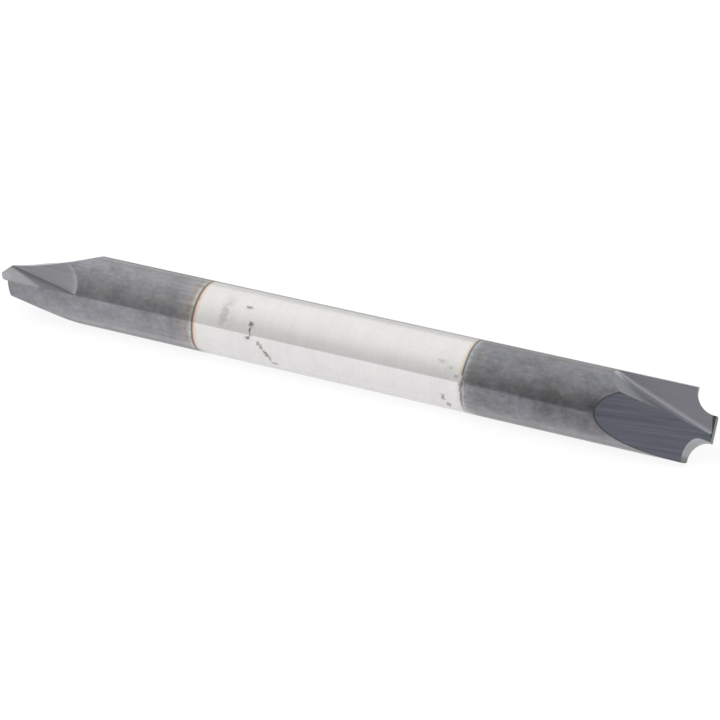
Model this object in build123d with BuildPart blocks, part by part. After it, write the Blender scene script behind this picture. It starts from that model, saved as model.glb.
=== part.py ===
"""Double-ended corner rounding end mill, ground from one rod of solid carbide.

The rod lies along X with its middle at the origin. Each end carries the same two-flute,
right-hand form: a concave quarter round on each tooth, between the rod's full diameter and
a short pilot at the tip. The round part between the two ends is the shank.

Every cut is first drawn in a tooth's own frame, in millimetres. There the tip plane is
Z = 0 and Z points out of the end. X runs along the tooth, from the axis towards the rod's
surface, and Y points the way the tooth moves, so the flute that it cuts into lies at +Y.
"""

from build123d import *
import math
import os

# Rod
rod_diameter = 9.525
overall_length = 101.6

# Form that a tooth cuts
corner_radius = 2.84
pilot_radius = 1.88

# Relief behind the cutting edge: axial at the rod's surface, radial at the pilot
axial_relief_angle = 10.5
radial_relief_angle = 11.0

# Turns about the axis over which the relief is formed, ahead of and behind the rake face
relief_lead_in = 8.0
relief_sweep = 92.0
relief_sections = 7

# Flute: the rake face lies ahead of the axis, and the floor rises along the rod
rake_offset = 0.64
flute_tip_reach = 0.52
flute_rise_angle = 20.0
flute_straight_length = 8.8
flute_wheel_radius = 38.0
flute_included_angle = 110.0
flute_root_radius = 0.25

# Tooth back: hollow ground by the rim of a large wheel
back_tip_height = 0.76
back_length = 14.15
back_wheel_radius = 75.0
back_lean_angle = 5.5

# Small gash that frees the end cutting edge
gash_length = 0.41
gash_depth = 0.29
gash_reach = 0.95

# How far each end's first tooth is turned about X from straight up, towards -Y
right_end_turn = -23.5
left_end_turn = 83.1

# The left end's two backs are ground this far out of square with each other, one each way
left_back_error = 6.4

teeth_per_end = 2

# Worked out from the sizes above
rod_radius = rod_diameter / 2
tooth_pitch = 360 / teeth_per_end
clear_of_rod = rod_diameter
past_tip = rod_radius / 2
rake_edge_height = math.sqrt(pilot_radius**2 - rake_offset**2)


def flute_run_out_turn():
    """Degrees that the root turns through, on the wheel's radius, to pass out of the rod."""
    rise = math.radians(flute_rise_angle)
    height_at_bend = flute_straight_length * math.tan(rise) - flute_tip_reach
    height_to_climb = rod_radius + past_tip - height_at_bend
    exit_angle = math.acos(math.cos(rise) - height_to_climb / flute_wheel_radius)
    return math.degrees(exit_angle) - flute_rise_angle


def back_wheel_centre():
    """Centre of the wheel whose rim passes the tip and the far end of the tooth's back."""
    chord = math.hypot(back_length, rod_radius - back_tip_height)
    chord_angle = math.atan2(rod_radius - back_tip_height, back_length)
    stand_off = math.sqrt(back_wheel_radius**2 - (chord / 2) ** 2)
    middle_height = (rod_radius + back_tip_height) / 2
    return (
        middle_height + stand_off * math.cos(chord_angle),
        -back_length / 2 + stand_off * math.sin(chord_angle),
    )


# Flute, with the rake face on one side and the rising floor on the other
floor_angle = math.radians(flute_included_angle)
floor_direction = (math.cos(floor_angle), math.sin(floor_angle), 0)
root_slope = math.tan(math.radians(flute_rise_angle))
root_bend = (flute_straight_length * root_slope - flute_tip_reach, -flute_straight_length)
with BuildPart() as flute_cut:
    with BuildSketch(Plane.XZ.offset(-rake_offset)):
        with BuildLine():
            root_start = (-flute_tip_reach - past_tip * root_slope, past_tip)
            Line(root_start, root_bend)
            run_out = JernArc(
                root_bend,
                (root_slope, -1),
                flute_wheel_radius,
                flute_run_out_turn(),
            )
            Polyline(
                run_out @ 1,
                (clear_of_rod, (run_out @ 1).Y),
                (clear_of_rod, past_tip),
                root_start,
            )
        make_face()
    extrude(amount=clear_of_rod, dir=floor_direction)
    rake_plane_edges = flute_cut.edges().group_by(Axis.Y)[0]
    lengthwise_edges = rake_plane_edges.filter_by_position(
        Axis.Z,
        rake_plane_edges.sort_by(Axis.Z)[0].center().Z,
        past_tip,
        inclusive=(False, False),
    )
    root_edges = lengthwise_edges.sort_by(Axis.X)[:-1]
    fillet(root_edges, radius=flute_root_radius)

# Tooth back
with BuildPart() as back_cut:
    with BuildSketch(Plane.YZ):
        with Locations(back_wheel_centre()):
            Circle(back_wheel_radius)
    extrude(amount=clear_of_rod, both=True)

# Concave corner, carried round behind the cutting edge as it sinks in and along the rod
axial_relief_rate = rod_radius * math.tan(math.radians(axial_relief_angle))
radial_relief_rate = pilot_radius * math.tan(math.radians(radial_relief_angle))
with BuildPart() as corner_cut:
    for section in range(relief_sections):
        turn_behind = section * (relief_lead_in + relief_sweep) / (relief_sections - 1) - relief_lead_in
        edge_height = rake_edge_height - math.radians(turn_behind) * radial_relief_rate
        edge_depth = math.radians(turn_behind) * axial_relief_rate
        turned_rake_plane = Plane(
            origin=Vector(0, rake_offset, 0).rotate(Axis.Z, -turn_behind),
            x_dir=Vector(1, 0, 0).rotate(Axis.Z, -turn_behind),
            z_dir=Vector(0, -1, 0).rotate(Axis.Z, -turn_behind),
        )
        with BuildSketch(turned_rake_plane):
            with BuildLine():
                shoulder = (edge_height + corner_radius, -corner_radius - edge_depth)
                form = RadiusArc((edge_height, -edge_depth), shoulder, -corner_radius)
                Polyline(
                    form @ 1,
                    (clear_of_rod, shoulder[1]),
                    (clear_of_rod, past_tip),
                    (edge_height, past_tip),
                    form @ 0,
                )
            make_face()
    loft()

# End gash
gash_normal = Vector(
    gash_depth / (rake_edge_height + gash_reach),
    1.0,
    gash_depth / gash_length,
)
gash_plane = Plane(origin=(-gash_reach, rake_offset, 0), z_dir=gash_normal)
with BuildPart() as gash_cut:
    with BuildSketch(gash_plane):
        Rectangle(2 * clear_of_rod, 2 * clear_of_rod)
    extrude(amount=clear_of_rod)


def end_plane(side, turn):
    """Tip plane of one end, side +1 or -1, with its X axis along the first tooth."""
    turn_angle = math.radians(turn)
    first_tooth = (0, -math.sin(turn_angle), math.cos(turn_angle))
    tip = (side * overall_length / 2, 0, 0)
    return Plane(origin=tip, x_dir=first_tooth, z_dir=(side, 0, 0))


# The whole cutter
with BuildPart() as corner_rounding_end_mill:
    with BuildSketch(Plane.YZ):
        Circle(rod_radius)
    extrude(amount=overall_length / 2, both=True)
    for side, turn, back_error in ((1, right_end_turn, 0), (-1, left_end_turn, left_back_error)):
        tip_location = end_plane(side, turn).location
        for tooth in range(teeth_per_end):
            tooth_location = tip_location * Location((0, 0, 0), (0, 0, tooth * tooth_pitch))
            error = back_error if tooth % 2 == 0 else -back_error
            back_location = tooth_location * Location((0, 0, 0), (0, 0, back_lean_angle + error))
            with Locations(tooth_location):
                add(flute_cut.part, mode=Mode.SUBTRACT)
            with Locations(back_location):
                add(back_cut.part, mode=Mode.SUBTRACT)
            with Locations(tooth_location):
                add(corner_cut.part, mode=Mode.SUBTRACT)
                add(gash_cut.part, mode=Mode.SUBTRACT)
corner_rounding_end_mill.part.label = "corner_rounding_end_mill"

os.makedirs("parts", exist_ok=True)
export_step(corner_rounding_end_mill.part, "parts/corner_rounding_end_mill.step")
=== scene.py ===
"""A double-ended corner rounding end mill, lying on a pale studio floor.

The cutter is one CAD solid. This script gives it its surface: a bright ground shank with a few
stains, a dark hard coating on both ends with coloured rims, and the ground faces of the teeth.
Names that end in _MM are millimetres in the CAD frame, with X along the cutter. A turn is an
angle about X in degrees, from straight up towards the camera's side. Colours are linear. A
strength is how far a pattern takes a colour up and down, as a share of it.
"""

import math
from typing import NamedTuple

import bpy
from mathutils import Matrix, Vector


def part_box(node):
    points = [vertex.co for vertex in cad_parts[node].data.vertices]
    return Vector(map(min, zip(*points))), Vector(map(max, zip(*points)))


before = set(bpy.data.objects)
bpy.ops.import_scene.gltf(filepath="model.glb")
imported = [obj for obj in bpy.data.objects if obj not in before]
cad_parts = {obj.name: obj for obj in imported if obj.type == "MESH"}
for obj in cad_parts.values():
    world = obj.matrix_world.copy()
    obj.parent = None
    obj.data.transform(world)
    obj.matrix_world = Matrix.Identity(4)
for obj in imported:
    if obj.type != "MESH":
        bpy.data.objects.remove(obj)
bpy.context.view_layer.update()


def grey(value):
    """A linear colour without a tint."""
    return (value, value, value)


CUTTER = "corner_rounding_end_mill"
MM = 0.001
METRES_TO_MM = (1 / MM, 1 / MM, 1 / MM)
QUARTER_TURN = 90.0

# Camera, as fitted to the photograph's outlines, with what it sees from near to far in metres
CAMERA_PLACE_MM = (140.297, -276.509, 157.123)
CAMERA_VIEW = (-0.396416, 0.796481, -0.456587)
CAMERA_LENS = 134.757
CAMERA_SENSOR = 36.0
CAMERA_RANGE = (0.01, 100.0)

# The stretch along X over which the left half of the cutter gives way to the right half
MIDDLE_MM = (-1.0, 1.0)

# Where the coating starts at each end, along X, how uneven its edge is, and the depths into it
# between which bare metal turns into coating
LEFT_COATING_MM = -19.495
RIGHT_COATING_MM = 19.115
EDGE_UNEVENNESS_MM = 0.04
EDGE_DEPTHS_MM = (-0.02, 0.12)

BARE_COLOUR = (0.678, 0.668, 0.660)
LEFT_COAT_COLOUR = (0.206, 0.207, 0.224)
RIGHT_COAT_COLOUR = (0.154, 0.156, 0.173)
DIRT_COLOUR = (0.085, 0.08, 0.075)
BROWN_COLOUR = (0.23, 0.165, 0.125)
WHITE = (1.0, 1.0, 1.0)

# Gloss of the bare metal, of the coated metal and of a stain
BARE_METALLIC = 0.68
COATED_METALLIC = 0.97
BARE_ROUGHNESS = 0.075
COATED_ROUGHNESS = 0.20
STAIN_ROUGHNESS = 0.45

# How much the haze and the clouds add to the roughness
HAZE_ROUGHNESS = 0.015
CLOUD_ROUGHNESS = -0.4

# Clear hard layer over the coating's metal, which mirrors more at a low angle
COAT_IOR = 1.65
COAT_ROUGHNESS = 0.16

# The rims' colours, by depth into the coating in millimetres, from bare metal inwards
LEFT_RIM = (
    (-0.80, BARE_COLOUR),
    (-0.50, (0.675, 0.605, 0.560)),
    (-0.33, (0.650, 0.560, 0.440)),
    (-0.20, (0.560, 0.370, 0.270)),
    (-0.11, (0.380, 0.215, 0.185)),
    (-0.04, (0.140, 0.112, 0.132)),
    (0.05, (0.112, 0.140, 0.165)),
    (0.13, (0.205, 0.285, 0.295)),
    (0.25, (0.400, 0.435, 0.405)),
    (0.38, (0.445, 0.400, 0.355)),
    (0.56, (0.350, 0.310, 0.280)),
    (0.80, (0.285, 0.265, 0.265)),
    (3.00, LEFT_COAT_COLOUR),
)
RIGHT_RIM = (
    (-0.80, BARE_COLOUR),
    (-0.50, (0.635, 0.600, 0.520)),
    (-0.36, (0.620, 0.550, 0.420)),
    (-0.25, (0.480, 0.410, 0.305)),
    (-0.17, (0.165, 0.150, 0.122)),
    (-0.04, (0.142, 0.142, 0.162)),
    (0.03, (0.290, 0.330, 0.360)),
    (0.12, (0.365, 0.405, 0.440)),
    (0.24, (0.335, 0.347, 0.385)),
    (0.40, (0.282, 0.287, 0.292)),
    (0.62, (0.228, 0.233, 0.230)),
    (1.00, (0.180, 0.180, 0.185)),
    (3.00, RIGHT_COAT_COLOUR),
)

# A stretch of the right rim without colour, between two turns
DULL_RIM = (
    (-0.80, BARE_COLOUR),
    (-0.15, (0.600, 0.595, 0.585)),
    (0.00, (0.320, 0.320, 0.320)),
    (0.09, (0.265, 0.265, 0.260)),
    (0.18, (0.380, 0.378, 0.370)),
    (0.28, (0.310, 0.310, 0.310)),
    (0.40, (0.235, 0.238, 0.250)),
    (1.00, (0.175, 0.175, 0.185)),
    (3.00, RIGHT_COAT_COLOUR),
)
DULL_RIM_TURNS = (66.0, 138.0)
DULL_RIM_SOFTNESS = 5.0


class CutFace(NamedTuple):
    """One kind of ground face: how its normal tells it apart, and its finish at each end, whose colours
    also hold painted light and shade for how that face is lit.

    The face looks towards right_turn or left_turn, or the opposite turn on the other tooth, with
    at least the cosine facing. lean is the range of its normal's share along the rod. roughness
    is for the left and the right end, coat is the share of the clear layer, and lines is the
    strength of the grinding wheel's lines.
    """

    right_turn: float
    left_turn: float
    facing: float
    lean: tuple
    right_colour: tuple
    left_colour: tuple
    roughness: tuple
    coat: float
    lines: float


# Each face's colour at each end is partly its finish and partly painted light and shade, lighter or darker
# by how that face is lit
CUT_FACES = {
    "tooth_back": CutFace(
        right_turn=72.0,
        left_turn=-12.4,
        facing=0.86,
        lean=(0.12, 0.50),
        right_colour=(0.154, 0.165, 0.210),
        left_colour=(0.20, 0.205, 0.235),
        roughness=(0.20, 0.20),
        coat=1.0,
        lines=0.34,
    ),
    "rake": CutFace(
        right_turn=66.5,
        left_turn=-6.9,
        facing=0.985,
        lean=(-0.05, 0.08),
        right_colour=(0.296, 0.300, 0.336),
        left_colour=(0.37, 0.37, 0.39),
        roughness=(0.17, 0.34),
        coat=0.0,
        lines=0.07,
    ),
    "flute_floor": CutFace(
        right_turn=-3.5,
        left_turn=63.1,
        facing=0.80,
        lean=(0.20, 0.55),
        right_colour=(0.277, 0.281, 0.297),
        left_colour=(0.395, 0.395, 0.42),
        roughness=(0.30, 0.36),
        coat=0.0,
        lines=0.12,
    ),
    "flute_root": CutFace(
        right_turn=32.6,
        left_turn=27.0,
        facing=0.89,
        lean=(-0.05, 0.40),
        right_colour=(0.215, 0.215, 0.235),
        left_colour=(0.13, 0.13, 0.14),
        roughness=(0.30, 0.36),
        coat=0.0,
        lines=0.05,
    ),
    "gash": CutFace(
        right_turn=60.4,
        left_turn=-0.8,
        facing=0.72,
        lean=(0.52, 0.64),
        right_colour=(0.127, 0.123, 0.12),
        left_colour=(0.127, 0.123, 0.12),
        roughness=(0.30, 0.30),
        coat=0.0,
        lines=0.3,
    ),
    "end_face": CutFace(
        right_turn=0.0,
        left_turn=0.0,
        facing=-0.5,
        lean=(0.98, 1.10),
        right_colour=(0.19, 0.188, 0.185),
        left_colour=(0.19, 0.188, 0.185),
        roughness=(0.30, 0.30),
        coat=0.3,
        lines=0.1,
    ),
}

# How softly a face's range of lean ends, and its facing, as a share of what is left up to 1
LEAN_SOFTNESS = 0.04
FACING_SOFTNESS = 0.25

# Depths under the round between which a point comes to count as part of a cut face
CUT_DEPTHS_MM = (0.012, 0.035)

# The flute's root rises from beyond the axis at the tip plane, and lies in the rake's plane
RAKE_OFFSET_MM = 0.64
FLUTE_TIP_REACH_MM = 0.52
FLUTE_RISE_ANGLE = 20.0

# The relieved quarter rounds and pilots take up this length of each end, softly at its start
RELIEF_LENGTH_MM = 3.5
RELIEF_SOFTNESS_MM = 0.05
# The reliefs' colours are lighter than the coating, partly their own ground finish and partly a painted
# highlight that the concave rounds catch
RELIEF_RIGHT_COLOUR = (0.358, 0.367, 0.395)
RELIEF_LEFT_COLOUR = (0.330, 0.325, 0.335)

# A painted shade line just under the round, where the edge turns away from the light: the depths where it
# fades, and how dark it is on the right end's tooth backs and on every other face
EDGE_SHADE_DEPTHS_MM = (0.07, 0.13)
BACK_EDGE_SHADE = 0.62
OTHER_EDGE_SHADE = 0.10

# A light edge of the left end's flute floors: the depths under the round where it fades, and
# how light it is
FLOOR_EDGE_DEPTHS_MM = (0.15, 0.60)
FLOOR_EDGE = 0.22

# Painted highlight along the corner of the right end's flutes, where the root's round catches the light,
# and painted shade on the left end's rakes near it: where it fades on the floor and on the rake, how
# strong it is off the floor, where it fades further out on the rake, and its strength at each end
CORNER_ON_FLOOR_MM = (0.35, 1.3)
CORNER_ON_RAKE_MM = (0.20, 0.55)
CORNER_SHARE_OFF_FLOOR = 0.6
INNER_RAKE_MM = (0.25, 1.3)
RIGHT_ROOT_HIGHLIGHT = 0.75
LEFT_RAKE_SHADE = -0.28

# How far the grinding lines rise for each millimetre along the rod
LINE_SLANT = 0.025


class Pattern(NamedTuple):
    """A noise pattern, with its scale per millimetre along X, Y and Z."""

    scale: tuple
    detail: float
    roughness: float


STREAKS = Pattern((0.12, 2.4, 2.4), 4.0, 0.6)
CLOUDS = Pattern((0.40, 0.50, 0.50), 2.0, 0.5)
BLOTCHES = Pattern((1.3, 1.7, 1.7), 4.0, 0.65)
SPECKS = Pattern((1.5, 1.9, 1.9), 3.0, 0.7)
WARMTH = Pattern((0.7, 0.8, 0.8), 2.0, 0.5)
RINGS = Pattern((3.0, 0.12, 0.12), 4.0, 0.6)
HAZE = Pattern((0.22, 0.22, 0.22), 3.0, 0.5)
MOTTLE = Pattern((1.6, 1.8, 1.8), 3.0, 0.65)
COATING_EDGE = Pattern((0.3, 0.5, 0.5), 3.0, 0.5)
STAIN_EDGE = Pattern((2.6, 2.6, 2.6), 3.0, 0.65)
GRINDING_LINES = Pattern((0.06, 2.8, 0.0), 5.0, 0.7)

# Levels that nearly all noise lies between, and those where it counts as a speck
NOISE_LEVELS = (0.3, 0.7)
SPECK_LEVELS = (0.64, 0.74)

# Strengths on the coating, whose streaks fade with the depth into it. The unevenness is how
# much stronger its clouds, blotches and specks are at each end
STREAK_DEPTHS_MM = (0.5, 7.0)
STREAK_STRENGTHS = (0.17, 0.05)
CLOUD_STRENGTH = 0.12
BLOTCH_STRENGTH = 0.15
SPECK_STRENGTH = -0.20
LEFT_UNEVENNESS = 1.25
RIGHT_UNEVENNESS = 1.6

# Warm and cool tints of the coating, by the noise's level
WARMTH_COLOURS = ((0.35, (1.03, 1.0, 0.955)), (0.65, (0.975, 1.0, 1.035)))

# The right coating is darker on its front from some way in, a painted reflection of darker surroundings,
# and the left one is darker near its tip
RIGHT_REFLECTION_SHADE_DEPTHS_MM = (5.0, 12.0)
RIGHT_REFLECTION_SHADE_FROM_TURNS = (20.0, 70.0)
RIGHT_REFLECTION_SHADE_TO_TURNS = (78.0, 116.0)
RIGHT_REFLECTION_SHADE = -0.34
LEFT_DULL_DEPTHS_MM = (22.0, 27.0)
LEFT_DULLNESS = -0.12

# Strengths on the bare shank
RING_STRENGTH = 0.030
HAZE_STRENGTH = 0.028
MOTTLE_STRENGTH = 0.026

# Relief of the surface, for the shader's bump, whose distance is in metres
BUMP_STRENGTH = 0.10
BUMP_DISTANCE = 0.00002
RING_HEIGHT = 0.15

# How ragged a stain is, and where it starts to fade and has faded, as shares of its half sizes
STAIN_RAGGEDNESS = 0.55
STAIN_FADE = (0.35, 1.15)


class Stain(NamedTuple):
    """A stain on the shank: its middle, its half sizes in millimetres and how much it covers."""

    along: float
    turn: float
    half_length: float
    half_width: float
    cover: float
    colour: tuple


STAINS = (
    Stain(-12.0, 32.0, 0.65, 0.30, 0.70, DIRT_COLOUR),
    Stain(-11.0, 58.0, 0.42, 0.42, 0.80, DIRT_COLOUR),
    Stain(-11.0, 67.0, 0.22, 0.55, 0.85, DIRT_COLOUR),
    Stain(-10.9, 74.0, 0.28, 0.28, 0.60, BROWN_COLOUR),
    Stain(-11.2, 80.5, 0.42, 0.22, 0.75, DIRT_COLOUR),
    Stain(-9.7, 86.0, 0.30, 0.36, 0.60, DIRT_COLOUR),
    Stain(-9.25, 92.0, 0.30, 0.42, 0.65, BROWN_COLOUR),
    Stain(-8.85, 97.5, 0.30, 0.42, 0.75, BROWN_COLOUR),
    Stain(-8.45, 102.5, 0.30, 0.42, 0.80, BROWN_COLOUR),
    Stain(-8.05, 108.0, 0.30, 0.42, 0.65, BROWN_COLOUR),
    Stain(-7.5, 119.0, 0.45, 0.32, 0.55, DIRT_COLOUR),
    Stain(-14.8, 28.0, 0.9, 1.1, 0.13, BROWN_COLOUR),
    Stain(-15.2, 42.0, 0.8, 1.2, 0.20, BROWN_COLOUR),
    Stain(-15.2, 57.0, 0.7, 1.4, 0.27, BROWN_COLOUR),
    Stain(-14.2, 58.0, 1.3, 1.5, 0.10, BROWN_COLOUR),
    Stain(15.9, 49.0, 0.7, 0.35, 0.38, BROWN_COLOUR),
    Stain(17.3, 56.0, 0.45, 0.30, 0.28, BROWN_COLOUR),
    Stain(18.2, 66.0, 0.35, 0.30, 0.45, DIRT_COLOUR),
    Stain(16.6, 105.5, 0.34, 0.55, 0.60, DIRT_COLOUR),
    Stain(17.2, 121.0, 0.34, 0.60, 0.60, DIRT_COLOUR),
    Stain(19.00, 79.0, 0.30, 1.1, 0.70, DIRT_COLOUR),
    Stain(19.06, 100.0, 0.20, 1.4, 0.66, DIRT_COLOUR),
)

# What reflections see of the sky on the camera's side and behind the cutter, by the height in
# the sky from 0 at the horizon to 1 overhead
FRONT_SKY = (
    (0.0, grey(0.48)),
    (0.11, grey(0.50)),
    (0.29, (0.55, 0.545, 0.54)),
    (0.456, (0.625, 0.612, 0.60)),
    (0.73, (0.83, 0.81, 0.79)),
    (0.89, (0.98, 0.97, 0.955)),
    (1.0, grey(1.05)),
)
BACK_SKY = (
    (0.0, grey(0.66)),
    (0.16, grey(0.70)),
    (0.36, grey(0.71)),
    (0.47, grey(0.88)),
    (0.60, grey(1.06)),
    (1.0, grey(1.08)),
)

# The low sky's brightness from the left, at -1, to the right, at 1, as a share of the sky's own,
# and the height in the sky where this has faded
LOW_SKY_SIDES = (
    (-1.0, grey(1.0345)),
    (-0.75, grey(1.2414)),
    (-0.60, grey(1.2414)),
    (-0.40, grey(1.0)),
    (0.30, grey(1.0)),
    (0.75, grey(0.4138)),
    (1.0, grey(0.3793)),
)
LOW_SKY_TOP = 0.6

# Where the sky on the camera's side, at -1, gives way to the sky behind the cutter, at 1
SKY_MIDDLE = (-0.25, 0.25)

# Strength of the white light that everything but reflections gets from the sky
SOFT_LIGHT = 0.85

# What reflections see of the floor, by the place along Y in millimetres, with a painted shadow darkening
# it from -3.4 to 0 where the cutter lies
MIRRORED_FLOOR = (
    (-420.0, grey(0.50)),
    (-210.0, grey(0.97)),
    (-20.0, (1.02, 1.0, 1.02)),
    (-4.2, (1.02, 1.0, 1.02)),
    (-3.4, grey(1.0)),
    (-2.6, grey(0.90)),
    (0.0, grey(0.70)),
    (12.0, grey(0.64)),
    (50.0, grey(0.50)),
    (80.0, grey(0.22)),
)

# Close under the coated round, less light is thrown back to the floor: how far from the middle,
# how far across, how soft both ranges end, and the share of the brightness that is lost
UNDER_COAT_ALONG_MM = (21.0, 44.0)
UNDER_COAT_ACROSS_MM = (-2.6, 4.0)
UNDER_COAT_SOFT_ALONG_MM = 3.0
UNDER_COAT_SOFT_ACROSS_MM = 1.4
UNDER_COAT_SHADE = 0.40

# Half the floor's width in metres
FLOOR_REACH = 30.0
FLOOR_COLOUR = grey(0.92)

# Share of the floor's own white that the camera sees. The rest is lit, and shows the shadow
FLOOR_GLOW = 0.9

# A soft lamp above the camera's side, with its power in watts
LAMP_PLACE_MM = (-150.0, -250.0, 450.0)
LAMP_SIZE_MM = 400.0
LAMP_POWER = 2.0


def direction_of(turn):
    """Unit vector across the rod at a turn."""
    angle = math.radians(turn)
    return (0.0, -math.sin(angle), math.cos(angle))


class Graph:
    """Short names for the shader nodes that the materials and the world are made of."""

    def __init__(self, tree):
        self.tree = tree
        tree.nodes.clear()

    def add(self, kind, inputs=(), **settings):
        """A new node, with its inputs by name or number, fed with sockets or plain values."""
        node = self.tree.nodes.new(kind)
        for name, value in settings.items():
            setattr(node, name, value)
        for key, value in dict(inputs).items():
            self.feed(node.inputs[key], value)
        return node

    def feed(self, socket, value):
        """Links the socket to another one, or sets it to a plain value."""
        if isinstance(value, bpy.types.NodeSocket):
            self.tree.links.new(value, socket)
        elif socket.type == "RGBA":
            socket.default_value = (*value, 1.0)
        else:
            socket.default_value = value

    def math(self, operation, *values):
        return self.add("ShaderNodeMath", enumerate(values), operation=operation).outputs[0]

    def product(self, *values):
        result = values[0]
        for value in values[1:]:
            result = self.math("MULTIPLY", result, value)
        return result

    def total(self, *values):
        result = values[0]
        for value in values[1:]:
            result = self.math("ADD", result, value)
        return result

    def inverse(self, value):
        return self.math("SUBTRACT", 1.0, value)

    def scaled(self, coordinates, scale):
        node = self.add("ShaderNodeVectorMath", {0: coordinates, 1: scale}, operation="MULTIPLY")
        return node.outputs[0]

    def dot(self, first, second):
        node = self.add("ShaderNodeVectorMath", {0: first, 1: second}, operation="DOT_PRODUCT")
        return node.outputs["Value"]

    def step(self, value, start, end):
        """0 below start and 1 above end, with a smooth rise between."""
        node = self.add(
            "ShaderNodeMapRange",
            {0: value, 1: start, 2: end, 3: 0.0, 4: 1.0},
            interpolation_type="SMOOTHSTEP",
        )
        return node.outputs[0]

    def within(self, value, low, high, soft):
        """1 between low and high, with soft edges outside them."""
        rise = self.step(value, low - soft, low)
        return self.product(rise, self.inverse(self.step(value, high, high + soft)))

    def between(self, value, low, high, out_low, out_high):
        """The value carried from the range low to high into the range out_low to out_high."""
        node = self.add("ShaderNodeMapRange", {0: value, 1: low, 2: high, 3: out_low, 4: out_high})
        return node.outputs[0]

    def noise(self, coordinates, pattern):
        """Noise at coordinates in millimetres, nearly all of it between NOISE_LEVELS."""
        node = self.add("ShaderNodeTexNoise", {
            "Vector": self.scaled(coordinates, pattern.scale),
            "Scale": 1.0,
            "Detail": pattern.detail,
            "Roughness": pattern.roughness,
        })
        return node.outputs["Fac"]

    def wobble(self, coordinates, pattern, amount=1.0):
        """Noise as a number from about -amount to amount."""
        return self.between(self.noise(coordinates, pattern), *NOISE_LEVELS, -amount, amount)

    def ramp(self, value, stops):
        """Colours by a value, from stops of a value and a colour in rising order."""
        low, high = stops[0][0], stops[-1][0]
        node = self.add("ShaderNodeValToRGB", {0: self.between(value, low, high, 0.0, 1.0)})
        elements = node.color_ramp.elements
        while len(elements) < len(stops):
            elements.new(0.0)
        for element, (place, colour) in zip(elements, stops):
            element.position = (place - low) / (high - low)
            element.color = (*colour, 1.0)
        return node.outputs[0]

    def mix(self, factor, first, second, blend="MIX"):
        """The first colour, changed by the second one as far as the factor says."""
        node = self.add("ShaderNodeMix", data_type="RGBA", blend_type=blend)
        self.feed(node.inputs["Factor"], factor)
        self.feed(node.inputs["A"], first)
        self.feed(node.inputs["B"], second)
        return node.outputs["Result"]

    def blend(self, factor, first, second):
        """The first number where the factor is 0, and the second one where it is 1."""
        node = self.add("ShaderNodeMix", {0: factor, 2: first, 3: second}, data_type="FLOAT")
        return node.outputs[0]

    def shaded(self, colour, tone):
        """The colour times a number."""
        tone_colour = self.add("ShaderNodeCombineColor", {0: tone, 1: tone, 2: tone}).outputs[0]
        return self.mix(1.0, colour, tone_colour, "MULTIPLY")


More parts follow.
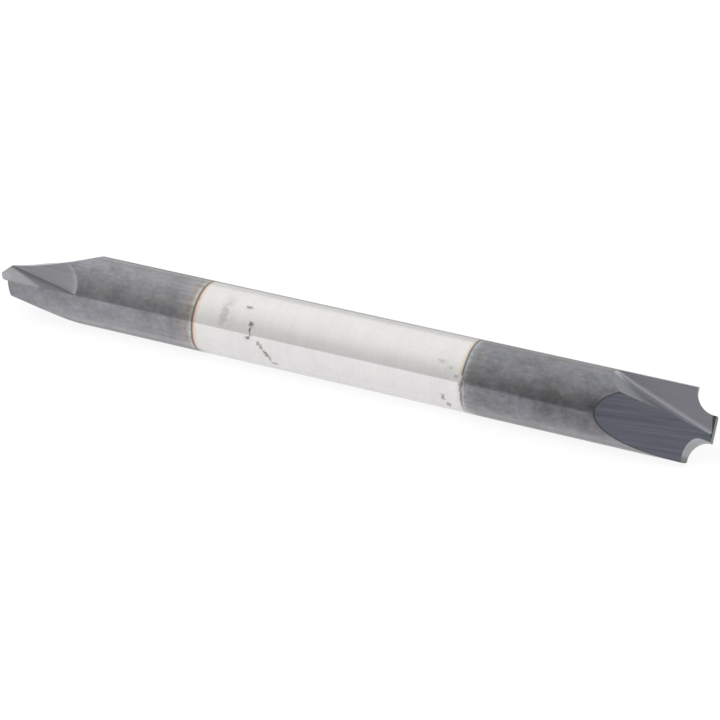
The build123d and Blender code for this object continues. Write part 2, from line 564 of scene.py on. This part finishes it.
class CutterMaterial:
    """The cutter's one material, worked out from the place and normal of each point."""

    def __init__(self, rod_radius, half_length):
        self.rod_radius = rod_radius
        self.half_length = half_length
        self.material = bpy.data.materials.new("ground_and_coated_carbide")
        self.material.use_nodes = True
        self.g = g = Graph(self.material.node_tree)
        coordinates = g.add("ShaderNodeTexCoord")
        self.normal = coordinates.outputs["Normal"]
        self.place = g.scaled(coordinates.outputs["Object"], METRES_TO_MM)
        self.along, across, up = g.add("ShaderNodeSeparateXYZ", {0: self.place}).outputs
        self.from_middle = g.math("ABSOLUTE", self.along)
        self.turn = g.product(g.math("ARCTAN2", g.product(across, -1.0), up), 180 / math.pi)
        radius = g.math("SQRT", g.total(g.product(across, across), g.product(up, up)))
        self.sunk = g.math("SUBTRACT", rod_radius, radius)
        self.on_right = g.step(self.along, *MIDDLE_MM)
        self.on_left = g.inverse(self.on_right)

        # Depth into the coating, which ends a little unevenly round the rod
        left_depth = g.math("SUBTRACT", LEFT_COATING_MM, self.along)
        right_depth = g.math("SUBTRACT", self.along, RIGHT_COATING_MM)
        uneven = g.wobble(self.place, COATING_EDGE, EDGE_UNEVENNESS_MM)
        self.depth = g.total(g.math("MAXIMUM", left_depth, right_depth), uneven)
        self.coated = g.step(self.depth, *EDGE_DEPTHS_MM)
        self.cut = g.product(g.step(self.sunk, *CUT_DEPTHS_MM), self.coated)

        # Patterns that more than one of the shader's inputs needs
        streak_strength = g.between(self.depth, *STREAK_DEPTHS_MM, *STREAK_STRENGTHS)
        self.streaks = g.product(g.wobble(self.place, STREAKS), streak_strength)
        self.clouds = g.wobble(self.place, CLOUDS, CLOUD_STRENGTH)
        self.blotches = g.wobble(self.place, BLOTCHES, BLOTCH_STRENGTH)
        self.rings = g.wobble(self.place, RINGS)
        self.haze = g.wobble(self.place, HAZE)

    def surface_colour(self):
        """Bare metal, the rims and the coating."""
        g = self.g
        dull = g.within(self.turn, *DULL_RIM_TURNS, DULL_RIM_SOFTNESS)
        right_rim = g.mix(dull, g.ramp(self.depth, RIGHT_RIM), g.ramp(self.depth, DULL_RIM))
        return g.mix(self.on_right, g.ramp(self.depth, LEFT_RIM), right_rim)

    def add_stains(self, colour):
        """Lays each stain over the colour with a ragged edge, and says how much is covered."""
        g = self.g
        ragged = g.wobble(self.place, STAIN_EDGE, STAIN_RAGGEDNESS)
        arc = math.radians(1.0) * self.rod_radius
        stained = 0.0
        for stain in STAINS:
            off_along = g.product(g.math("SUBTRACT", self.along, stain.along), 1 / stain.half_length)
            off_round = g.product(g.math("SUBTRACT", self.turn, stain.turn), arc / stain.half_width)
            off = g.math("SQRT", g.total(g.product(off_along, off_along), g.product(off_round, off_round)))
            cover = g.product(g.inverse(g.step(g.total(off, ragged), *STAIN_FADE)), stain.cover)
            colour = g.mix(cover, colour, stain.colour)
            stained = g.math("MAXIMUM", cover, stained)
        return colour, stained

    def coat_tone(self):
        """The coating is cloudy, with specks, streaked along the rod beside the shank and darker near the
        left tip; on the right end's front it is darkened as a painted reflection.
        """
        g = self.g
        specks = g.product(g.step(g.noise(self.place, SPECKS), *SPECK_LEVELS), SPECK_STRENGTH)
        by_end = g.blend(self.on_right, LEFT_UNEVENNESS, RIGHT_UNEVENNESS)
        uneven = g.product(g.total(self.clouds, self.blotches, specks), by_end)
        # Painted reflection: the right coating's front is darkened where it would mirror darker
        # surroundings
        on_front = g.product(
            g.step(self.turn, *RIGHT_REFLECTION_SHADE_FROM_TURNS),
            g.inverse(g.step(self.turn, *RIGHT_REFLECTION_SHADE_TO_TURNS)),
        )
        painted_reflection_shade = g.product(
            g.step(self.depth, *RIGHT_REFLECTION_SHADE_DEPTHS_MM),
            self.on_right,
            on_front,
            RIGHT_REFLECTION_SHADE,
        )
        dull_left = g.product(g.step(self.depth, *LEFT_DULL_DEPTHS_MM), self.on_left, LEFT_DULLNESS)
        return g.total(1.0, self.streaks, uneven, painted_reflection_shade, dull_left)

    def bare_tone(self):
        """The bare shank has faint grinding rings and haze."""
        g = self.g
        rings = g.product(self.rings, RING_STRENGTH)
        haze = g.product(self.haze, HAZE_STRENGTH)
        mottle = g.product(g.wobble(self.place, MOTTLE), MOTTLE_STRENGTH)
        return g.total(1.0, rings, haze, mottle)

    def height_towards(self, turn):
        """Distance in millimetres from the axis in the direction of a turn."""
        return self.g.dot(self.place, direction_of(turn))

    def height_by_face(self, face, further_turn):
        """The same in the direction that a face looks in at each end, turned further."""
        left = self.height_towards(face.left_turn + further_turn)
        right = self.height_towards(face.right_turn + further_turn)
        return self.g.blend(self.on_right, left, right)

    def grinding_lines(self, face):
        """Long thin lines in the face, nearly along the rod, from -1 to 1."""
        g = self.g
        slanted = g.total(self.height_by_face(face, QUARTER_TURN), g.product(self.along, LINE_SLANT))
        line_place = g.add("ShaderNodeCombineXYZ", {0: self.along, 1: slanted}).outputs[0]
        return g.wobble(line_place, GRINDING_LINES)

    def face_mask(self, face):
        """1 on one kind of ground face."""
        g = self.g
        left = g.math("ABSOLUTE", g.dot(self.normal, direction_of(face.left_turn)))
        right = g.math("ABSOLUTE", g.dot(self.normal, direction_of(face.right_turn)))
        facing = g.blend(self.on_right, left, right)
        faces = g.step(facing, face.facing, face.facing + FACING_SOFTNESS * (1.0 - abs(face.facing)))
        lean = g.math("ABSOLUTE", g.dot(self.normal, (1.0, 0.0, 0.0)))
        return g.product(self.cut, faces, g.within(lean, *face.lean, LEAN_SOFTNESS))

    def beside_root(self):
        """Two masks that fall off from the corner between the rake and the floor.

        The first covers both sides of the corner, and the second the rake further out.
        """
        g = self.g
        rake, floor, root = (CUT_FACES[name] for name in ("rake", "flute_floor", "flute_root"))

        # On the floor, by the distance from the rake's plane, which is turned with the tooth
        ahead = self.height_by_face(rake, 0.0)
        off_rake = g.math("SUBTRACT", g.math("ABSOLUTE", ahead), RAKE_OFFSET_MM)
        floor_side = g.product(g.inverse(g.step(off_rake, *CORNER_ON_FLOOR_MM)), self.face_mask(floor))

        # On the rake, by the distance from the root's rising line
        tooth_side = g.product(g.math("SIGN", ahead), g.blend(self.on_right, 1.0, -1.0))
        outward = g.product(self.height_by_face(rake, QUARTER_TURN), tooth_side)
        from_tip = g.math("SUBTRACT", self.half_length, self.from_middle)
        flute_slope = math.tan(math.radians(FLUTE_RISE_ANGLE))
        root_height = g.math("SUBTRACT", g.product(from_tip, flute_slope), FLUTE_TIP_REACH_MM)
        above_root = g.math("SUBTRACT", outward, root_height)
        on_rake = self.face_mask(rake)
        near_root = g.inverse(g.step(above_root, *CORNER_ON_RAKE_MM))
        rake_side = g.product(near_root, on_rake, CORNER_SHARE_OFF_FLOOR)
        root_itself = g.product(self.face_mask(root), CORNER_SHARE_OFF_FLOOR)
        corner = g.math("MAXIMUM", g.math("MAXIMUM", floor_side, rake_side), root_itself)
        inner_rake = g.product(g.inverse(g.step(above_root, *INNER_RAKE_MM)), on_rake)
        return corner, inner_rake

    def add_relief(self, colour):
        """The quarter rounds and pilots at both tips."""
        g = self.g
        start = self.half_length - RELIEF_LENGTH_MM
        relief = g.product(self.cut, g.step(self.from_middle, start - RELIEF_SOFTNESS_MM, start))
        return g.mix(relief, colour, g.mix(self.on_right, RELIEF_LEFT_COLOUR, RELIEF_RIGHT_COLOUR))

    def add_edge_tones(self, colour):
        """Painted shade and highlight along the edges and corners of the ground faces, and lighter flute
        floors near the round on the left end.
        """
        g = self.g

        # A painted shade line where the right end's tooth backs meet the round, and a faint one elsewhere
        on_right_back = g.product(self.face_mask(CUT_FACES["tooth_back"]), self.on_right)
        border = g.product(self.cut, g.inverse(g.step(self.sunk, *EDGE_SHADE_DEPTHS_MM)))
        edge_shade = g.product(border, g.blend(on_right_back, OTHER_EDGE_SHADE, BACK_EDGE_SHADE))
        colour = g.shaded(colour, g.inverse(edge_shade))

        # The left end's flute floors are lighter near the round
        near_round = g.product(g.inverse(g.step(self.sunk, *FLOOR_EDGE_DEPTHS_MM)), self.on_left)
        floor_edge = g.product(near_round, self.face_mask(CUT_FACES["flute_floor"]), FLOOR_EDGE)
        colour = g.shaded(colour, g.total(1.0, floor_edge))

        # A painted highlight along the right end's flute roots, and painted shade on the left end's rakes
        # there
        corner, inner_rake = self.beside_root()
        root_highlight_and_shade = g.blend(
            self.on_right,
            g.product(inner_rake, LEFT_RAKE_SHADE),
            g.product(corner, RIGHT_ROOT_HIGHLIGHT),
        )
        return g.shaded(colour, g.total(1.0, root_highlight_and_shade))

    def build(self):
        """Puts the colour, the gloss and the relief together."""
        g = self.g
        colour, stained = self.add_stains(self.surface_colour())
        colour = g.shaded(colour, g.blend(self.coated, self.bare_tone(), self.coat_tone()))
        patches = g.ramp(g.noise(self.place, WARMTH), WARMTH_COLOURS)
        colour = g.mix(self.coated, colour, g.mix(1.0, colour, patches, "MULTIPLY"))
        colour = self.add_relief(colour)
        roughness = g.blend(
            self.coated,
            g.total(BARE_ROUGHNESS, g.product(self.haze, HAZE_ROUGHNESS)),
            g.total(COATED_ROUGHNESS, g.product(self.clouds, CLOUD_ROUGHNESS)),
        )
        coat_weight = self.coated
        for face in CUT_FACES.values():
            mask = self.face_mask(face)
            face_colour = g.mix(self.on_right, face.left_colour, face.right_colour)
            line_tone = g.total(1.0, g.product(self.grinding_lines(face), face.lines))
            colour = g.mix(mask, colour, g.shaded(face_colour, line_tone))
            roughness = g.blend(mask, roughness, g.blend(self.on_right, *face.roughness))
            coat_weight = g.blend(mask, coat_weight, face.coat)
        colour = self.add_edge_tones(colour)

        height = g.blend(
            self.coated,
            g.product(self.rings, RING_HEIGHT),
            g.total(self.streaks, self.blotches),
        )
        bump = g.add("ShaderNodeBump", {
            "Strength": BUMP_STRENGTH,
            "Distance": BUMP_DISTANCE,
            "Height": height,
        })
        surface = g.add("ShaderNodeBsdfPrincipled", {
            "Base Color": colour,
            "Roughness": g.blend(stained, roughness, STAIN_ROUGHNESS),
            "Metallic": g.blend(self.coated, BARE_METALLIC, COATED_METALLIC),
            "Normal": bump.outputs[0],
            "Coat Weight": coat_weight,
            "Coat IOR": COAT_IOR,
            "Coat Roughness": COAT_ROUGHNESS,
        })
        g.add("ShaderNodeOutputMaterial", {"Surface": surface.outputs[0]})
        return self.material


def make_world():
    """White soft light, and for reflections a sky that is dark low down and bright overhead."""
    world = bpy.data.worlds.new("studio")
    bpy.context.scene.world = world
    world.use_nodes = True
    g = Graph(world.node_tree)
    direction = g.add("ShaderNodeTexCoord").outputs["Generated"]
    sideways, forward, up = g.add("ShaderNodeSeparateXYZ", {0: direction}).outputs
    rise = g.math("MAXIMUM", up, 0.0)
    sky = g.mix(g.step(forward, *SKY_MIDDLE), g.ramp(rise, FRONT_SKY), g.ramp(rise, BACK_SKY))
    low_sky = g.mix(1.0, sky, g.ramp(sideways, LOW_SKY_SIDES), "MULTIPLY")
    sky = g.mix(g.step(rise, 0.0, LOW_SKY_TOP), low_sky, sky)
    soft_light = g.add("ShaderNodeBackground", {"Color": WHITE, "Strength": SOFT_LIGHT})
    mirrored = g.add("ShaderNodeBackground", {"Color": sky, "Strength": 1.0})
    mixed = g.add("ShaderNodeMixShader", {
        0: g.add("ShaderNodeLightPath").outputs["Is Glossy Ray"],
        1: soft_light.outputs[0],
        2: mirrored.outputs[0],
    })
    g.add("ShaderNodeOutputWorld", {"Surface": mixed.outputs[0]})


def floor_material():
    """Looks white but for the cutter's shadow.

    To reflections it is white in front of the cutter and greyer further away, with a painted shadow where
    the cutter lies and under its coated ends.
    """
    material = bpy.data.materials.new("pale_floor")
    material.use_nodes = True
    g = Graph(material.node_tree)
    place = g.scaled(g.add("ShaderNodeTexCoord").outputs["Object"], METRES_TO_MM)
    along, across, _ = g.add("ShaderNodeSeparateXYZ", {0: place}).outputs
    under_coat = g.product(
        g.within(g.math("ABSOLUTE", along), *UNDER_COAT_ALONG_MM, UNDER_COAT_SOFT_ALONG_MM),
        g.within(across, *UNDER_COAT_ACROSS_MM, UNDER_COAT_SOFT_ACROSS_MM),
    )
    coat_shade = g.inverse(g.product(under_coat, UNDER_COAT_SHADE))
    mirrored = g.shaded(g.ramp(across, MIRRORED_FLOOR), coat_shade)
    lit = g.add("ShaderNodeBsdfDiffuse", {"Color": FLOOR_COLOUR})
    paths = g.add("ShaderNodeLightPath")
    glossy = paths.outputs["Is Glossy Ray"]
    white = g.add("ShaderNodeEmission", {"Color": g.mix(glossy, WHITE, mirrored), "Strength": 1.0})
    share = g.math("MAXIMUM", g.product(paths.outputs["Is Camera Ray"], FLOOR_GLOW), glossy)
    mixed = g.add("ShaderNodeMixShader", {0: share, 1: lit.outputs[0], 2: white.outputs[0]})
    g.add("ShaderNodeOutputMaterial", {"Surface": mixed.outputs[0]})
    return material


def make_floor(height):
    """A wide flat floor that the cutter lies on."""
    mesh = bpy.data.meshes.new("floor")
    corners = [(x * FLOOR_REACH, y * FLOOR_REACH, height) for x, y in ((-1, -1), (1, -1), (1, 1), (-1, 1))]
    mesh.from_pydata(corners, [], [(0, 1, 2, 3)])
    mesh.materials.append(floor_material())
    floor = bpy.data.objects.new("floor", mesh)
    bpy.context.scene.collection.objects.link(floor)


def make_lamp():
    """A soft square lamp that points at the middle of the cutter. Metal doesn't mirror it."""
    lamp = bpy.data.lights.new("key_lamp", "AREA")
    lamp.energy = LAMP_POWER
    lamp.size = LAMP_SIZE_MM * MM
    lamp_object = bpy.data.objects.new("key_lamp", lamp)
    lamp_object.location = Vector(LAMP_PLACE_MM) * MM
    lamp_object.rotation_euler = (-lamp_object.location).to_track_quat("-Z", "Y").to_euler()
    lamp_object.visible_glossy = False
    bpy.context.scene.collection.objects.link(lamp_object)


def make_camera():
    """The photograph's camera, with its lens and sensor in millimetres."""
    camera = bpy.data.cameras.new("camera")
    camera.lens = CAMERA_LENS
    camera.sensor_width = CAMERA_SENSOR
    camera.clip_start, camera.clip_end = CAMERA_RANGE
    camera_object = bpy.data.objects.new("camera", camera)
    camera_object.location = Vector(CAMERA_PLACE_MM) * MM
    camera_object.rotation_euler = Vector(CAMERA_VIEW).to_track_quat("-Z", "Y").to_euler()
    bpy.context.scene.collection.objects.link(camera_object)
    bpy.context.scene.camera = camera_object


bpy.context.scene.view_settings.view_transform = "Standard"

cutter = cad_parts[CUTTER]
lowest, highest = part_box(CUTTER)
cutter.data.materials.clear()
cutter.data.materials.append(CutterMaterial(highest.z / MM, highest.x / MM).build())

make_camera()
make_world()
make_floor(lowest.z)
make_lamp()
